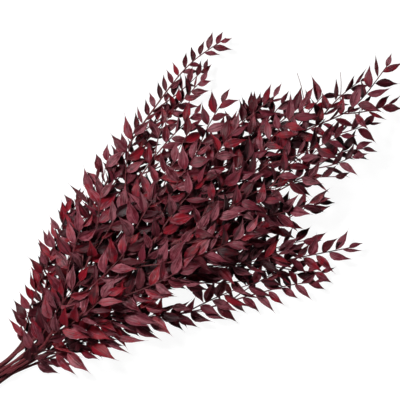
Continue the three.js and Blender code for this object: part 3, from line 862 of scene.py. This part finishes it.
# One piece stands for each stem: its axis and side shoots are tubes, and all its leaves are there.
def dressStem(one, finishes):
    surfaces = Surfaces()
    axis = one["axis"]
    forks = [grownShoot["fork"] for grownShoot in one["shoots"]]
    forks += [grownLeaf["share"] for grownLeaf in axis["leaves"]]
    wood = lambda *shape, **rest: surfaces.add(**tubeSurfaces(*shape, **rest), finish=stemLook["wood"])
    wood(axis["path"], forks, bunch["stemRadius"], tubeForm["axisSides"], power=tubeForm["axisTaper"])
    for grownShoot in one["shoots"]:
        nodes = [grownLeaf["share"] for grownLeaf in grownShoot["leaves"]]
        end = min(1, nodes[-1] + shoot["pastLastLeaf"])
        wood(grownShoot["path"], nodes, shoot["radius"], tubeForm["shootSides"], end=end)
    for bends in filaments["onStems"].get(one["index"], []):
        path = Path(bentOnce(*np.array(bends, float)))
        wood(path, [], filaments["radius"], filaments["sides"])
    blades = [grownLeaf for grownTwig in [*one["shoots"], axis] for grownLeaf in grownTwig["leaves"]]
    chance = np.random.default_rng(stemLook["seed"] + one["index"])
    surfaces.add(**leafSurfaces(blades, chance), finish=stemLook["leaves"])
    piece = surfaces.toPiece(f"leafyStem{one['index'] + 1:02d}", finishes)
    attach(piece, "root")
    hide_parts(f"stem_{one['index'] + 1:02d}")


finishes = [foliageFinish(), barkFinish()]
for one in stems:
    dressStem(one, finishes)
print("stems dressed")

rubberBand = {
    "turns": 3, "gapBetween": 0.35, "overStems": 0.55, "wall": 1.5,
    "strapUnder": 0.6,         # a strap is this much narrower than its share of the band's width
    "rounding": 0.45,          # of the strap's section: 1 is an ellipse, 0 a box
    "slant": 0.25,             # mm that a winding sways to either side
    "samples": 96, "corners": 12,
}


# The outline that a tight band takes: along each outward direction it stands off the stem that reaches
# farthest that way, by that stem's radius and the offset.
def tightOutline(offset, samples):
    slots = np.array([stem["slot"] for stem in bunch["stems"]], float)
    centres = slots * (bunch["stemPitch"], bunch["rowRise"]) + (0, bunch["lowestRow"])
    turn = 2 * np.pi * np.arange(samples) / samples
    outward = np.stack([np.cos(turn), np.sin(turn)], axis=-1)
    farthest = centres[np.argmax(outward @ centres.T, axis=1)]
    return farthest + outward * (bunch["stemRadius"][0] + offset)


# The band is wound round a few times. Each winding is a ring with a rounded strap section, carried round the
# outline and slanted a little.
def rubberSurfaces():
    surfaces = Surfaces()
    samples, corners, wall = rubberBand["samples"], rubberBand["corners"], rubberBand["wall"]
    width = bunch["bandWidth"] / rubberBand["turns"] - rubberBand["gapBetween"]
    inner = tightOutline(rubberBand["overStems"], samples)
    outwardLean = (tightOutline(rubberBand["overStems"] + wall, samples) - inner) / wall
    corner = np.linspace(0, 2 * np.pi, corners, endpoint=False)
    rounded = lambda wave: np.sign(wave) * np.abs(wave) ** rubberBand["rounding"]
    sideways, outwards = rounded(np.cos(corner)) / 2, (1 + rounded(np.sin(corner))) / 2
    ring, here = np.arange(samples)[:, None], np.arange(corners)[None, :]
    after, there = (ring + 1) % samples * corners, (here + 1) % corners
    before = ring * corners
    quads = np.stack([before + here, after + here, after + there, before + there], axis=-1)
    places = np.stack(np.broadcast_arrays(ring / samples, here / corners), axis=-1)
    quadPlaces = np.repeat(places.reshape(-1, 1, 2), 4, axis=1)
    for winding in range(rubberBand["turns"]):
        middle = (winding - (rubberBand["turns"] - 1) / 2) * (width + rubberBand["gapBetween"])
        slant = rubberBand["slant"] * np.sin(2 * np.pi * np.arange(samples) / samples + winding)
        x = middle + slant[:, None] + sideways[None, :] * (width - rubberBand["strapUnder"])
        yz = inner[:, None] + outwardLean[:, None] * (outwards * wall)[None, :, None]
        points = np.concatenate([x[..., None], yz], axis=-1)
        surfaces.add(points, quads, quadPlaces)
    return surfaces


rubber = {
    "ground": tint(176, 132, 84),
    "layers": {
        "pale": {"color": tint(196, 156, 108), "most": 1.0, "share": {"start": 0.5, "patch": 1.0}},
        "worn": {"color": tint(120, 88, 60), "most": 0.8, "share": {"start": -0.04, "fine": 0.8}},
    },
    "roughness": {"start": 0.55, "fine": 0.3},
    "relief": {"patch": 1.0, "fine": 1.0},
    "height": 0.0001, "strength": 0.6,
    "noises": {"patch": (60, 3), "fine": (1500, 2)},
}


def rubberFinish():
    finish = Finish("naturalRubber", IOR=1.5)
    return finish.finished(rubber, finish.noises(rubber))


bandPiece = rubberSurfaces().toPiece("woundBand", [rubberFinish()])
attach(bandPiece, "root")
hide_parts("band")
print("band wound")

studio = {
    "turn": 41.0,              # degrees of +X above image right
    "middle": (0.4205, -0.0024, 0.06),  # of the picture, from the middle of the band
    "viewWidth": 0.58, "distance": 5.0, "sensor": 36, "clipEnd": 50,
    "floorRadius": 12.0, "floorBelow": 0.0005, "domeBelow": 0.05,
    "sides": 48, "rings": 12, "domeReach": 0.49,  # of half a turn, from the floor up
    "floor": tint(100, 100, 100), "white": tint(255, 255, 255), "glow": 0.93, "surround": 0.04,
    "key": {"place": (-0.68, 0.4, 1.42), "size": 0.34, "power": 33},
    "fill": {"place": (1.9, -1.3, 0.9), "size": 1.6, "power": 20},
}
pictureMiddle = bandMiddle + studio["middle"]


# A point given by image right, image up and height over the floor.
def inImage(right, up, height):
    turn = math.radians(studio["turn"])
    x = pictureMiddle[0] + right * math.cos(turn) + up * math.sin(turn)
    y = pictureMiddle[1] - right * math.sin(turn) + up * math.cos(turn)
    return x, y, height


# Floor and backdrop glow, so that shadows stay faint, and send no light to the bunch.
def addStagePiece(name, points, faces):
    mesh = bpy.data.meshes.new(name)
    mesh.from_pydata(points.tolist(), [], faces)
    mesh.shade_smooth()
    finish = Finish(name, Roughness=0.9, Emission_Strength=studio["glow"])
    finish.set("Emission Color", studio["white"])
    finish.set("Base Color", studio["floor"])
    mesh.materials.append(finish.material)
    stage = bpy.data.objects.new(name, mesh)
    stage.visible_diffuse = stage.visible_glossy = stage.visible_shadow = False
    bpy.context.scene.collection.objects.link(stage)


# The floor is a disc and the backdrop a dome over it, of rings of points at even angles.
def addStage():
    sides, rings = studio["sides"], studio["rings"]
    turn = 2 * np.pi * np.arange(sides) / sides
    circle = np.stack([np.cos(turn), np.sin(turn), 0 * turn], axis=-1) * studio["floorRadius"]
    rise = np.linspace(0, studio["domeReach"] * np.pi, rings)[:, None, None]
    height = np.sin(rise) * studio["floorRadius"] - studio["domeBelow"]
    dome = circle[None] * np.cos(rise) + upward * height
    ring, here = np.arange(rings - 1)[:, None] * sides, np.arange(sides)[None, :]
    there = (here + 1) % sides
    walls = np.stack([ring + there, ring + here, ring + sides + here, ring + sides + there], axis=-1)
    top = tuple(range((rings - 1) * sides, rings * sides))
    addStagePiece("studioFloor", circle - upward * studio["floorBelow"], [tuple(range(sides))])
    addStagePiece("studioBackdrop", dome.reshape(-1, 3), [*walls.reshape(-1, 4).tolist(), top])


def addSoftbox(name, place, size, power):
    light = bpy.data.lights.new(name, "AREA")
    light.shape, light.size, light.energy = "DISK", size, power
    lamp = bpy.data.objects.new(name, light)
    lamp.location = inImage(*place)
    aim = pictureMiddle - np.array(lamp.location)
    lamp.rotation_mode = "QUATERNION"
    lamp.rotation_quaternion = Vector(aim.tolist()).to_track_quat("-Z", "Y")
    bpy.context.scene.collection.objects.link(lamp)


def addCamera():
    lens = bpy.data.cameras.new("studioCamera")
    lens.sensor_width = studio["sensor"]
    lens.lens = studio["sensor"] * studio["distance"] / studio["viewWidth"]
    lens.clip_end = studio["clipEnd"]
    camera = bpy.data.objects.new("studioCamera", lens)
    camera.location = pictureMiddle + upward * studio["distance"]
    camera.rotation_euler = (0, 0, -math.radians(studio["turn"]))
    bpy.context.scene.collection.objects.link(camera)
    bpy.context.scene.camera = camera


def addSurround():
    world = bpy.data.worlds.new("paleSurround")
    world.use_nodes = True
    background = world.node_tree.nodes["Background"]
    background.inputs["Color"].default_value = studio["white"]
    background.inputs["Strength"].default_value = studio["surround"]
    bpy.context.scene.world = world


addStage()
addSoftbox("keySoftbox", **studio["key"])
addSoftbox("fillSoftbox", **studio["fill"])
addCamera()
addSurround()
bpy.context.scene.view_settings.view_transform = "Standard"
print("studio lit")
